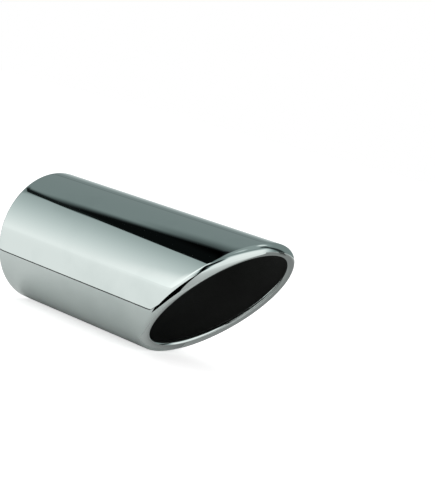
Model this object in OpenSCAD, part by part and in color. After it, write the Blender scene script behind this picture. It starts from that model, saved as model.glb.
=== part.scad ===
// Slash-cut exhaust tip, formed from one piece of polished steel sheet.
// The tube lies along Y: the inlet faces +Y, the outlet -Y, and the long side of the cut is on top.
// The origin is the centre of the inlet bore, where the collar's straight wall begins.

/* [Tailpipe] */
// Outside diameter of the tailpipe that goes into the inlet
pipe_d = 63.5; // [45:0.5:80]
// Gap all round between the tailpipe and the inlet collar
pipe_clearance = 0.25; // [0.1:0.05:0.45]

/* [Shell] */
// Outside diameter of the tip
tip_d = 76; // [60:1:102]
// Length from the rear rim to the foremost point of the lip, on the long side
tip_len = 168; // [140:1:260]
// Thickness of the sheet
sheet_t = 1.2; // [0.8:0.1:1.5]

/* [Slash cut] */
// Angle between the cut and a square end
cut_angle = 42; // [0:1:50]

/* [Rolled lip] */
// Outside radius of the bend that carries the wall over the rim
lip_outer_r = 4.2; // [3:0.1:7]
// Outside radius of the tighter bend that turns the sheet back into the tube
lip_inner_r = 2.2; // [1.6:0.1:4]
// Straight stretch of sheet after the tighter bend
lip_return = 0.6; // [0.2:0.1:3]

/* [Inlet] */
// Outside radius of the two bends of the rear rim
rim_bend_r = 2.2; // [1.6:0.1:3]
// Length of the collar's straight wall, along which it grips the tailpipe
collar_len = 16; // [8:1:40]

/* [Hidden] */
$fn = 96;

tip_r = tip_d / 2;
bore_r = pipe_d / 2 + pipe_clearance;
// A tip that is narrow for its tailpipe is widened at the rear, to hold the collar inside its wall
collar_room = 2 * sheet_t + 0.8;
rear_r = max(tip_r, bore_r + collar_room);
shoulder_start = collar_len + sheet_t;
shoulder_len = 2 * (rear_r - tip_r);
// Outside of the wall in section, as radius and height
wall_line = rear_r > tip_r
    ? [[rear_r, 0], [rear_r, shoulder_start], [tip_r, shoulder_start + shoulder_len], [tip_r, tip_len]]
    : [[tip_r, 0], [tip_r, tip_len]];
// The two rear bends share the step from the wall to the collar
rim_bend = min(rim_bend_r, (rear_r - bore_r) / 2);
rim_inside_r = max(rim_bend - sheet_t, 0.05);

// The lip follows a slanted ellipse: the rim line is the centre of its larger bend
cut_slope = tan(cut_angle);
rim_line_r = tip_r - lip_outer_r;
rim_rise = rim_line_r * cut_slope;
rim_z = tip_len - rim_bend - lip_outer_r - rim_rise;

// Flats of the swept lip: rings round the rim, and steps in each bend of its section
lip_rings = 96;
outer_bend_steps = 7;
inner_bend_steps = 5;
// The sweep's faces stay this far inside the sheet's, so its flats never break through the round wall
flat_depth = tip_r * (1 - cos(180 / lip_rings));
seam_step = flat_depth + 0.01;
// The wall ends this far behind the lip's first bend, and a tongue of the lip runs back inside it
seam_back = cut_slope * sheet_t + 0.3;
tongue_len = seam_back + cut_slope * sheet_t + 1;

// Quarter of a bent sheet: round its own centre, to the right of it and below it
module quarter_bend() {
    intersection() {
        difference() {
            circle(r = rim_bend);
            circle(r = rim_inside_r);
        }
        translate([0, -rim_bend]) square(rim_bend);
    }
}

// Half section of the wall, the rear rim and the collar that is turned back inside, as radius and height
module sheet_section() {
    bend_t = rim_bend - rim_inside_r;
    polygon(concat(wall_line, reversed([for (p = wall_line) p - [sheet_t, 0]])));
    translate([rear_r - rim_bend, 0]) quarter_bend();
    translate([bore_r + rim_bend, -rim_bend]) square([rear_r - bore_r - 2 * rim_bend + 0.01, bend_t]);
    translate([bore_r + rim_bend, 0]) mirror([1, 0]) quarter_bend();
    translate([bore_r, 0]) square([sheet_t, collar_len]);
}

// Everything in front of the slanted seam between the wall and the lip
module beyond_seam() {
    seam_angle = atan(rim_rise / tip_r);
    side = 2 * (tip_len + tip_d);
    translate([0, 0, rim_z - seam_back])
        rotate([seam_angle, 0, 0])
            translate([-side / 2, -side / 2, 0]) cube(side);
}

module wall_and_inlet() {
    difference() {
        rotate_extrude() sheet_section();
        beyond_seam();
    }
}

// One face of the lip's sheet in section, at a depth under its outer face: [inwards, forwards, along the axis]
function lip_face(depth) = concat(
    [for (i = [0 : outer_bend_steps])
        let (turn = 90 * i / outer_bend_steps, r = lip_outer_r - depth)
        [lip_outer_r - r * cos(turn), r * sin(turn), 0]],
    [for (i = [1 : inner_bend_steps])
        let (turn = 90 * i / inner_bend_steps, r = lip_inner_r - depth)
        [lip_outer_r + r * sin(turn), lip_outer_r - lip_inner_r + r * cos(turn), 0]],
    [[lip_outer_r + lip_inner_r - depth, lip_outer_r - lip_inner_r - lip_return, 0]]
);

function reversed(list) = [for (i = [len(list) - 1 : -1 : 0]) list[i]];

function lip_section() = concat(
    [[seam_step, 0, -tongue_len]],
    lip_face(seam_step),
    reversed(lip_face(sheet_t - seam_step)),
    [[sheet_t - seam_step, 0, -tongue_len]]
);

// A point of the section, set square to the rim line at an angle from the long side
function lip_point(angle, p) = let (
        out = [sin(angle), cos(angle), 0],
        around = [cos(angle), -sin(angle), 0],
        forwards = [0, 0, 1] + cut_slope * sin(angle) * around,
        rim = rim_line_r * out + [0, 0, rim_z + rim_rise * cos(angle)]
    )
    rim + (lip_outer_r - p[0]) * out + p[1] * forwards / norm(forwards) + [0, 0, p[2]];

module rolled_lip() {
    section = lip_section();
    n = len(section);
    points = [for (i = [0 : lip_rings - 1]) for (p = section) lip_point(360 * i / lip_rings, p)];
    faces = [for (i = [0 : lip_rings - 1]) for (j = [0 : n - 1])
        let (
            a = i * n + j,
            b = i * n + (j + 1) % n,
            c = (i + 1) % lip_rings * n + (j + 1) % n,
            d = (i + 1) % lip_rings * n + j
        )
        each [[a, c, b], [a, d, c]]];
    polyhedron(points, faces);
}

// The whole tip, turned from its forming axis to lie along Y
module tip_shell() {
    color("gainsboro")
        rotate([90, 0, 0]) {
            wall_and_inlet();
            rolled_lip();
        }
}

tip_shell();
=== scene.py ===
import math

import bpy
from mathutils import Matrix, Vector


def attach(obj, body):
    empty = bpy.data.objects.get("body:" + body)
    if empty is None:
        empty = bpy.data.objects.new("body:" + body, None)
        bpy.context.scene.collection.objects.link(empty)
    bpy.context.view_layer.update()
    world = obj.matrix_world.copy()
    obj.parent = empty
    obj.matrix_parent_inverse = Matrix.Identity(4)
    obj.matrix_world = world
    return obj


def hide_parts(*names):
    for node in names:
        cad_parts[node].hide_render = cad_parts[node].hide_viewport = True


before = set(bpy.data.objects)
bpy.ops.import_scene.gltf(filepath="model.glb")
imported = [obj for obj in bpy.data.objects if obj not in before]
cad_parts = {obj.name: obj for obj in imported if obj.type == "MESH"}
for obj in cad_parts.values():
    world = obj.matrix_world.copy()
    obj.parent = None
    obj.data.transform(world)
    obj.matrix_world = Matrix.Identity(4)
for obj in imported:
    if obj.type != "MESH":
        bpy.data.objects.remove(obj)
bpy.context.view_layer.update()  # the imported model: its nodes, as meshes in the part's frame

mm = 0.001
print("frame: loaded", sorted(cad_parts))


def linearColour(hexCode):
    # sRGB hex as a colour picker shows it, turned to the linear values that the shaders work in
    channels = [int(hexCode[i:i + 2], 16) / 255 for i in (0, 2, 4)]
    return (*[c / 12.92 if c <= 0.04045 else ((c + 0.055) / 1.055) ** 2.4 for c in channels], 1)


def addNode(tree, kind, settings=None, links=None):
    # settings fill the node's own values or its sockets, links feed its sockets from other nodes
    node = tree.nodes.new(kind)
    for name, value in (settings or {}).items():
        if isinstance(name, int) or name in node.inputs:
            node.inputs[name].default_value = value
        else:
            setattr(node, name, value)
    for name, source in (links or {}).items():
        tree.links.new(source, node.inputs[name])
    return node


def emptyMaterial(name):
    material = bpy.data.materials.new(name)
    material.use_nodes = True
    material.node_tree.nodes.clear()
    return material, material.node_tree


# Camera, at the height and turn of the photograph
photoCamera = {
    "place": (-0.55746, -0.596, 0.09327),  # metres, in the part's frame
    "azimuth": -49.77,  # degrees, 0 looks along +Y
    "elevation": 5.274,
    "roll": 14.691,  # the right side of the picture tips up
    "focalPixels": 1400,
    "framePixels": 495,  # the long side of the picture, which the sensor's width covers
    "sensorWidth": 36,
    "nearest": 0.01,  # metres, where the camera starts and stops seeing
    "farthest": 100,
}


def buildCamera(c):
    a, e, roll = (math.radians(c[k]) for k in ("azimuth", "elevation", "roll"))
    back = Vector((math.sin(a) * math.cos(e), -math.cos(a) * math.cos(e), math.sin(e)))
    level = Vector((math.cos(a), math.sin(a), 0))
    right = Matrix.Rotation(roll, 3, back) @ level
    up = back.cross(right)
    data = bpy.data.cameras.new("photoCamera")
    data.sensor_width = c["sensorWidth"]
    data.lens = c["focalPixels"] * c["sensorWidth"] / c["framePixels"]
    data.clip_start = c["nearest"]
    data.clip_end = c["farthest"]
    camera = bpy.data.objects.new("photoCamera", data)
    bpy.context.scene.collection.objects.link(camera)
    turn = Matrix((right, up, back)).transposed().to_4x4()
    camera.matrix_world = Matrix.Translation(c["place"]) @ turn
    bpy.context.scene.camera = camera


buildCamera(photoCamera)
print("camera: in place")


# Tip shell: one sheet, from the collar's free end over the rear rim, along the wall and over the lip
tipShell = {
    "radius": 38.0,  # mm, outside
    "boreRadius": 32.0,
    "sheet": 1.2,
    "length": 168.0,
    "cutAngle": 42.0,  # degrees from a square end
    "lipOuterRadius": 4.2,
    "lipInnerRadius": 2.2,
    "lipReturn": 0.6,
    "rearBend": 2.2,
    "collar": 16.0,
    "polishedOff": 0.04,  # off the outside, as buffing leaves it; it also keeps the mesh inside the frame's
    "turns": 360,  # steps round the tube
    "wallSteps": 48,
    "bendSteps": 18,
    "collarSteps": 6,
}


def steps(count, first=0):
    return [i / count for i in range(first, count + 1)]


def shellSection(s, depth):
    # one face of the sheet, at a depth under its polished face, from the collar's end to the lip's end
    # each point: [inwards from the wall's outside, forwards, share of the way from rear to rim line]
    quarter = math.pi / 2
    boreIn = s["radius"] - s["boreRadius"]
    bend = s["rearBend"]
    outer = s["lipOuterRadius"]
    inner = s["lipInnerRadius"]
    rows = []
    for t in steps(s["collarSteps"]):
        rows.append((boreIn - depth, s["collar"] * (1 - t), 0))
    reach = bend - depth
    for t in steps(s["bendSteps"], 1):  # from the collar to the rear rim's flat
        turn = quarter * t
        rows.append((boreIn - bend + reach * math.cos(turn), -reach * math.sin(turn), 0))
    for t in steps(s["bendSteps"]):  # from the flat to the wall
        turn = quarter * t
        rows.append((bend - reach * math.sin(turn), -reach * math.cos(turn), 0))
    for t in steps(s["wallSteps"], 1):
        rows.append((depth, 0, t))
    reach = outer - depth
    for t in steps(s["bendSteps"], 1):  # over the rim
        turn = quarter * t
        rows.append((outer - reach * math.cos(turn), reach * math.sin(turn), 1))
    reach = inner - depth
    for t in steps(s["bendSteps"], 1):  # back into the tube
        turn = quarter * t
        rows.append((outer + reach * math.sin(turn), outer - inner + reach * math.cos(turn), 1))
    rows.append((outer + reach, outer - inner - s["lipReturn"], 1))
    return rows


def shellPoint(s, angle, row):
    # angle 0 is the long side, on top; the tube runs along -Y from where the collar's straight wall begins
    inwards, forwards, share = row
    slope = math.tan(math.radians(s["cutAngle"]))
    rimRadius = s["radius"] - s["lipOuterRadius"]
    rimMiddle = s["length"] - s["rearBend"] - s["lipOuterRadius"] - rimRadius * slope
    out = Vector((math.sin(angle), math.cos(angle), 0))
    around = Vector((math.cos(angle), -math.sin(angle), 0))
    along = (Vector((0, 0, 1)) + slope * math.sin(angle) * around).normalized()
    ahead = along if share == 1 else Vector((0, 0, 1))
    height = share * (rimMiddle + rimRadius * slope * math.cos(angle))
    p = (s["radius"] - inwards) * out + height * Vector((0, 0, 1)) + forwards * ahead
    return Vector((p.x, -p.z, p.y)) * mm


def buildShell(s, steel, coating):
    polished = shellSection(s, s["polishedOff"])
    coated = shellSection(s, s["sheet"])[::-1]
    loop = polished + coated
    n = len(loop)
    turns = s["turns"]
    points = [shellPoint(s, 2 * math.pi * i / turns, row) for i in range(turns) for row in loop]
    faces = []
    for i in range(turns):
        here = i * n
        following = (i + 1) % turns * n
        for j in range(n):
            k = (j + 1) % n
            faces.append((here + j, here + k, following + k, following + j))
    mesh = bpy.data.meshes.new("tipShell")
    mesh.from_pydata(points, [], faces)
    mesh.materials.append(steel)
    mesh.materials.append(coating)
    for face in mesh.polygons:
        face.material_index = 0 if face.index % n < len(polished) else 1
        face.use_smooth = True
    mesh.validate()
    mesh.update()
    piece = bpy.data.objects.new("tipShell", mesh)
    bpy.context.scene.collection.objects.link(piece)
    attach(piece, "root")
    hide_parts("tip_shell")
    return piece


# Mirror-polished stainless steel sheet, formed first and then buffed with a sisal wheel and compound.
# The eye gets sharp reflections with a faint cool green cast, a slow waver where the forming left the
# sheet uneven, and hair-fine lines along the tube that only soften the edges of what is mirrored.
mirrorPolishedStainless = {
    "colour": "dfe9e6",
    "hazeColour": "d3dedb",  # where compound and handling have left a thin film
    "roughness": (0.015, 0.045),  # freshly buffed, and along the lines
    "lineSpacing": 0.7,  # mm; the real lines are 0.03 mm apart, so they are drawn coarser to show at all
    "lineLength": 60,
    "lineDepth": 0.00012,
    "lineDetail": 3,  # finer lines within the lines, in halvings
    "lineShare": (0.4, 0.7),  # the part of the pattern that goes from buffed to lined
    "wavePitch": 14,  # mm, from the rollers and the forming mandrel
    "waveDepth": 0.005,
    "waveDetail": 1,
    "filmSize": 35,
    "filmDetail": 4,
    "filmShare": (0.5, 0.8),
}


def buildSteel(m):
    material, tree = emptyMaterial("mirrorPolishedStainless")
    place = addNode(tree, "ShaderNodeTexCoord").outputs["Object"]
    # noise cells are one unit wide, so each scale is one over the real size in metres
    across = 1 / (m["lineSpacing"] * mm)
    along = 1 / (m["lineLength"] * mm)
    waveScale = 1 / (m["wavePitch"] * mm)
    filmScale = 1 / (m["filmSize"] * mm)
    stretched = addNode(tree, "ShaderNodeMapping", {"Scale": (across, along, across)}, {"Vector": place})
    lines = addNode(tree, "ShaderNodeTexNoise", {
        "Scale": 1, "Detail": m["lineDetail"]}, {"Vector": stretched.outputs[0]})
    waves = addNode(tree, "ShaderNodeTexNoise", {
        "Scale": waveScale, "Detail": m["waveDetail"]}, {"Vector": place})
    film = addNode(tree, "ShaderNodeTexNoise", {
        "Scale": filmScale, "Detail": m["filmDetail"]}, {"Vector": place})
    filmed = addNode(tree, "ShaderNodeMapRange", {
        "From Min": m["filmShare"][0], "From Max": m["filmShare"][1]}, {"Value": film.outputs[0]})
    tint = addNode(tree, "ShaderNodeMix", {
        "data_type": "RGBA", 6: linearColour(m["colour"]), 7: linearColour(m["hazeColour"])},
        {0: filmed.outputs[0]})
    rough = addNode(tree, "ShaderNodeMapRange", {
        "From Min": m["lineShare"][0], "From Max": m["lineShare"][1],
        "To Min": m["roughness"][0], "To Max": m["roughness"][1]}, {"Value": lines.outputs[0]})
    wavy = addNode(tree, "ShaderNodeBump", {"Distance": m["waveDepth"] * mm}, {"Height": waves.outputs[0]})
    lined = addNode(tree, "ShaderNodeBump", {"Distance": m["lineDepth"] * mm}, {
        "Height": lines.outputs[0], "Normal": wavy.outputs[0]})
    shader = addNode(tree, "ShaderNodeBsdfPrincipled", {"Metallic": 1.0}, {
        "Base Color": tint.outputs[2], "Roughness": rough.outputs[0], "Normal": lined.outputs[0]})
    addNode(tree, "ShaderNodeOutputMaterial", links={"Surface": shader.outputs[0]})
    return material


# Matt black silicone-ceramic exhaust coating, sprayed inside and baked: it swallows nearly all light,
# and its dry, slightly pebbled skin gives back only a broad, dim sheen on the side towards the light.
bakedBlackCoating = {
    "colour": "171917",
    "dryColour": "222522",  # thinner, dustier overspray
    "dryShare": (0.35, 0.7),  # the part of the pattern that goes from wet to dry
    "roughness": (0.55, 0.8),
    "grain": 0.8,  # mm; sprayed droplets dry about 0.2 mm wide, drawn coarser so that they show
    "grainDepth": 0.03,
    "passWidth": 30,  # mm, one pass of the spray gun
    "detail": 2,  # finer grain within the grain, in halvings
}


def buildCoating(m):
    material, tree = emptyMaterial("bakedBlackCoating")
    place = addNode(tree, "ShaderNodeTexCoord").outputs["Object"]
    grainScale = 1 / (m["grain"] * mm)
    passScale = 1 / (m["passWidth"] * mm)
    grain = addNode(tree, "ShaderNodeTexNoise", {
        "Scale": grainScale, "Detail": m["detail"]}, {"Vector": place})
    passes = addNode(tree, "ShaderNodeTexNoise", {
        "Scale": passScale, "Detail": m["detail"]}, {"Vector": place})
    dry = addNode(tree, "ShaderNodeMapRange", {
        "From Min": m["dryShare"][0], "From Max": m["dryShare"][1]}, {"Value": passes.outputs[0]})
    tint = addNode(tree, "ShaderNodeMix", {
        "data_type": "RGBA", 6: linearColour(m["colour"]), 7: linearColour(m["dryColour"])},
        {0: dry.outputs[0]})
    rough = addNode(tree, "ShaderNodeMapRange", {
        "To Min": m["roughness"][0], "To Max": m["roughness"][1]}, {"Value": grain.outputs[0]})
    pebbled = addNode(tree, "ShaderNodeBump", {
        "Distance": m["grainDepth"] * mm}, {"Height": grain.outputs[0]})
    shader = addNode(tree, "ShaderNodeBsdfPrincipled", links={
        "Base Color": tint.outputs[2], "Roughness": rough.outputs[0], "Normal": pebbled.outputs[0]})
    addNode(tree, "ShaderNodeOutputMaterial", links={"Surface": shader.outputs[0]})
    return material


steel = buildSteel(mirrorPolishedStainless)
coating = buildCoating(bakedBlackCoating)
shell = buildShell(tipShell, steel, coating)
print("tip shell: built,", len(shell.data.polygons), "faces")


# Studio: a pale paper floor under plain even light. What the mirror sees is a set of studio sheets round
# the tip: white to one side and in front, grey above and behind, black gaps between them; the sheets on the
# floor just in front of the tip carry painted shade, where the tip shades the paper.
# Degrees: azimuth 0 is straight ahead of the outlet, 90 along -X, 180 behind; elevation 0 is level.
studio = {
    "floorHeight": -38.0,  # mm, just touching the tip
    "floorSize": 20000,
    "paper": "d8d8d8",
    "floorWhite": 0.66,  # added where the camera looks at the paper, so that it shows white
    "mirroredShare": 0.04,  # how much of that the mirror sees too; its own sheets do the rest
    "ambient": 1.0,
    "ceiling": 0.265,
    "brightTint": "ffffff",
    "dimTint": "e6ffff",  # the grey sheets are cooler than the white ones
    # Cards high and low all round, each one over those before it. softness: how wide the left, right,
    # lower and upper edges are. levels: the light at the first and the second elevation in "rise".
    # lean: how far the sides go round for each degree up.
    "skyCards": {
        "backGlow": {"azimuth": (160, 246), "elevation": (-90, 25), "softness": (12, 15, 1, 2),
                     "rise": (0, 20), "levels": (0.76, 0.26)},
        "backEdge": {"azimuth": (165, 250), "elevation": (23.5, 27), "softness": (6, 15, 1.5, 1.5),
                     "level": 0.2},
        "blackGap": {"azimuth": (108, 165), "elevation": (36, 57), "softness": (12, 9, 1, 5),
                     "level": 0.004, "lean": 1.3},
        "gapHaze": {"azimuth": (150, 207), "elevation": (46, 57), "softness": (5, 40, 4, 4),
                    "level": 0},
        "highCeiling": {"azimuth": (-180, 180), "elevation": (50, 91), "softness": (1, 1, 16, 1),
                        "level": 0.36},
        "overheadCard": {"azimuth": (48, 112), "elevation": (60, 82), "softness": (12, 16, 8, 10),
                         "level": 0.62},
        "sideCard": {"azimuth": (93, 167), "elevation": (-90, 40), "softness": (4, 8, 1, 0.5),
                     "rise": (0, 40), "levels": (1.02, 0.42)},
        "gapLine": {"azimuth": (155, 177), "elevation": (38.8, 41.6), "softness": (5, 8, 0.5, 1.2),
                    "level": 0.01},
        "edgeStrip": {"azimuth": (109, 135), "elevation": (-90, 41), "softness": (6, 6, 1, 1),
                      "level": 1.2},
        "frontCard": {"azimuth": (-40, 80), "elevation": (-90, 52), "softness": (30, 14, 1, 24),
                      "level": 1.02},
        "sideGap": {"azimuth": (62, 86), "elevation": (2, 40), "softness": (10, 8, 8, 8),
                    "level": 0, "lean": 1.2},
        "frontGap": {"azimuth": (54, 108), "elevation": (14, 40), "softness": (20, 8, 10, 8),
                     "level": 0},
        "sideSlot": {"azimuth": (72, 90), "elevation": (-90, 16), "softness": (7, 5, 1, 8),
                     "level": 0},
        "rightGap": {"azimuth": (-69, -43), "elevation": (0, 62), "softness": (8, 8, 1, 8),
                     "level": 0.03, "lean": 0.5},
        "farCard": {"azimuth": (-130, -60), "elevation": (63, 84), "softness": (12, 12, 7, 7),
                    "level": 0.9},
        "overheadGap": {"azimuth": (-52, -8), "elevation": (54, 72), "softness": (12, 10, 6, 6),
                        "level": 0.06},
    },
    # Sheets laid on the floor: corners in mm, and height over the floor, so that one lies on another.
    # levels: the light at the first and the second x or y in "fade", in mm.
    "floorSheets": {
        "blackSheet": {"corners": ((-9000, 9000), (-61.1, 9000), (-61.1, -110), (-47, -116),
                                   (-47, -160), (-9000, -2600)),
                       "height": 0.1, "level": 0},
        "sideSheet": {"corners": ((-9000, 9000), (-63.3, 9000), (-63.3, -119), (-9000, -1400)),
                      "height": 0.2, "fade": ("X", -150, -900), "levels": (0.92, 1.01)},
        # painted shade: this dim sheet stands for the floor in the tip's shade in front of the lower lip,
        # as the mirror sees it, darker towards +X
        "nearPaintedShadeSheet": {"corners": ((-22, -105), (18, -105), (18, -140), (-22, -140)),
                      "height": 0.1, "fade": ("X", -22, 15), "levels": (0.42, 0.2)},
        # a white sheet in front, with painted shade: its light drops towards the tip, where the tip shades
        # the floor
        "frontSheetPaintedShade": {"corners": ((-9000, -2500), (-47, -155), (10, -175), (24, -185), (3600, -9000),
                                   (-9000, -9000)),
                       "height": 0.35, "fade": ("Y", -165, -320), "levels": (0.47, 0.96)},
        "rightSheet": {"corners": ((18, -9000), (120, -9000), (120, 9000), (18, 9000)),
                       "height": 0.3, "fade": ("X", 18, 70), "levels": (0.3, 0.25)},
        "farRightSheet": {"corners": ((120, -9000), (9000, -9000), (9000, 9000), (120, 9000)),
                          "height": 0.3, "fade": ("X", 300, 2500), "levels": (0.25, 0.75)},
        "rightSlot": {"corners": ((94, -211), (109, -191), (8680, -5140), (7220, -7090)),
                      "height": 0.4, "fade": ("X", 100, 300), "levels": (0.2, 0.06)},
    },
}


def buildSky(s):
    world = bpy.data.worlds.new("studioWorld")
    bpy.context.scene.world = world
    world.use_nodes = True
    world.cycles.sampling_method = "NONE"  # even light all round needs no map of its own
    tree = world.node_tree
    tree.nodes.clear()
    direction = addNode(tree, "ShaderNodeTexCoord").outputs["Generated"]
    split = addNode(tree, "ShaderNodeSeparateXYZ", links={0: direction})
    turned = addNode(tree, "ShaderNodeVectorMath", {"operation": "SCALE", "Scale": -1}, {0: direction})
    back = addNode(tree, "ShaderNodeSeparateXYZ", links={0: turned.outputs[0]})
    angle = addNode(tree, "ShaderNodeMath", {"operation": "ARCTAN2"}, {
        0: back.outputs["X"], 1: back.outputs["Y"]})
    azimuth = addNode(tree, "ShaderNodeMath", {"operation": "DEGREES"}, {0: angle.outputs[0]}).outputs[0]
    # the same azimuth counted from 0 to 360, for the cards that reach past 180
    wrapped = addNode(tree, "ShaderNodeMath", {"operation": "WRAP", 1: 360, 2: 0}, {0: azimuth}).outputs[0]
    angle = addNode(tree, "ShaderNodeMath", {"operation": "ARCSINE"}, {0: split.outputs["Z"]})
    elevation = addNode(tree, "ShaderNodeMath", {"operation": "DEGREES"}, {0: angle.outputs[0]}).outputs[0]
    level = None
    for card in s["skyCards"].values():
        left, right = card["azimuth"]
        foot, top = card["elevation"]
        leftSoft, rightSoft, footSoft, topSoft = card["softness"]
        across = wrapped if right > 180 else azimuth
        if "lean" in card:
            rise = addNode(tree, "ShaderNodeMath", {"operation": "SUBTRACT", 1: foot}, {0: elevation})
            lean = addNode(tree, "ShaderNodeMath", {
                "operation": "MULTIPLY", 1: card["lean"]}, {0: rise.outputs[0]})
            leaned = addNode(tree, "ShaderNodeMath", {"operation": "SUBTRACT"}, {
                0: across, 1: lean.outputs[0]})
            across = leaned.outputs[0]
        mask = None
        for value, clear, full in ((across, left, left + leftSoft), (across, right, right - rightSoft),
                                   (elevation, foot, foot + footSoft), (elevation, top, top - topSoft)):
            edge = addNode(tree, "ShaderNodeMapRange", {
                "interpolation_type": "SMOOTHSTEP", "From Min": clear, "From Max": full}, {"Value": value})
            if mask is None:
                mask = edge.outputs[0]
            else:
                both = addNode(tree, "ShaderNodeMath", {"operation": "MULTIPLY"}, {
                    0: mask, 1: edge.outputs[0]})
                mask = both.outputs[0]
        values = {2: s["ceiling"]}  # what is behind the first card
        layers = {0: mask}
        if level is not None:
            layers[2] = level
        if "rise" in card:
            graded = addNode(tree, "ShaderNodeMapRange", {
                "From Min": card["rise"][0], "From Max": card["rise"][1],
                "To Min": card["levels"][0], "To Max": card["levels"][1]}, {"Value": elevation})
            layers[3] = graded.outputs[0]
        else:
            values[3] = card["level"]
        level = addNode(tree, "ShaderNodeMix", values, layers).outputs[0]
    bright = linearColour(s["brightTint"])
    tint = addNode(tree, "ShaderNodeMix", {
        "data_type": "RGBA", 6: linearColour(s["dimTint"]), 7: bright}, {0: level})
    mirrored = addNode(tree, "ShaderNodeBackground", links={"Color": tint.outputs[2], "Strength": level})
    plain = addNode(tree, "ShaderNodeBackground", {"Color": bright, "Strength": s["ambient"]})
    ray = addNode(tree, "ShaderNodeLightPath")
    seen = addNode(tree, "ShaderNodeMixShader", links={
        0: ray.outputs["Is Glossy Ray"], 1: plain.outputs[0], 2: mirrored.outputs[0]})
    addNode(tree, "ShaderNodeOutputWorld", links={"Surface": seen.outputs[0]})


def layFlat(name, corners, height, material):
    mesh = bpy.data.meshes.new(name)
    points = [(x * mm, y * mm, height * mm) for x, y in corners]
    mesh.from_pydata(points, [], [range(len(corners))])
    mesh.materials.append(material)
    sheet = bpy.data.objects.new(name, mesh)
    bpy.context.scene.collection.objects.link(sheet)
    return sheet


def buildFloor(s):
    material, tree = emptyMaterial("paperFloor")
    material.cycles.emission_sampling = "NONE"  # its glow is seen, but lights nothing
    paper = addNode(tree, "ShaderNodeBsdfDiffuse", {"Color": linearColour(s["paper"])})
    ray = addNode(tree, "ShaderNodeLightPath")
    mirrored = addNode(tree, "ShaderNodeMath", {"operation": "MULTIPLY", 1: s["mirroredShare"]}, {
        0: ray.outputs["Is Glossy Ray"]})
    direct = addNode(tree, "ShaderNodeMath", {"operation": "ADD"}, {
        0: ray.outputs["Is Camera Ray"], 1: ray.outputs["Is Transmission Ray"]})
    seen = addNode(tree, "ShaderNodeMath", {"operation": "ADD"}, {
        0: direct.outputs[0], 1: mirrored.outputs[0]})
    white = addNode(tree, "ShaderNodeMath", {"operation": "MULTIPLY", 1: s["floorWhite"]}, {
        0: seen.outputs[0]})
    glow = addNode(tree, "ShaderNodeEmission", links={"Strength": white.outputs[0]})
    both = addNode(tree, "ShaderNodeAddShader", links={0: paper.outputs[0], 1: glow.outputs[0]})
    addNode(tree, "ShaderNodeOutputMaterial", links={"Surface": both.outputs[0]})
    half = s["floorSize"] / 2
    corners = ((-half, -half), (half, -half), (half, half), (-half, half))
    layFlat("floor", corners, s["floorHeight"], material)


def buildSheets(s):
    for name, sheet in s["floorSheets"].items():
        material, tree = emptyMaterial(name)
        material.cycles.emission_sampling = "NONE"  # seen in the mirror, but lights nothing
        if "fade" in sheet:
            axis, start, end = sheet["fade"]
            place = addNode(tree, "ShaderNodeTexCoord").outputs["Object"]
            split = addNode(tree, "ShaderNodeSeparateXYZ", links={0: place})
            graded = addNode(tree, "ShaderNodeMapRange", {
                "From Min": start * mm, "From Max": end * mm,
                "To Min": sheet["levels"][0], "To Max": sheet["levels"][1]}, {"Value": split.outputs[axis]})
            glow = addNode(tree, "ShaderNodeEmission", links={"Strength": graded.outputs[0]})
        else:
            glow = addNode(tree, "ShaderNodeEmission", {"Strength": sheet["level"]})
        addNode(tree, "ShaderNodeOutputMaterial", links={"Surface": glow.outputs[0]})
        card = layFlat(name, sheet["corners"], s["floorHeight"] + sheet["height"], material)
        # only the mirror sees it
        card.visible_camera = False
        card.visible_diffuse = False
        card.visible_shadow = False


buildSky(studio)
print("studio: sky with", len(studio["skyCards"]), "cards")
buildFloor(studio)
buildSheets(studio)
print("studio: floor and", len(studio["floorSheets"]), "sheets")
bpy.context.scene.view_settings.view_transform = "Standard"
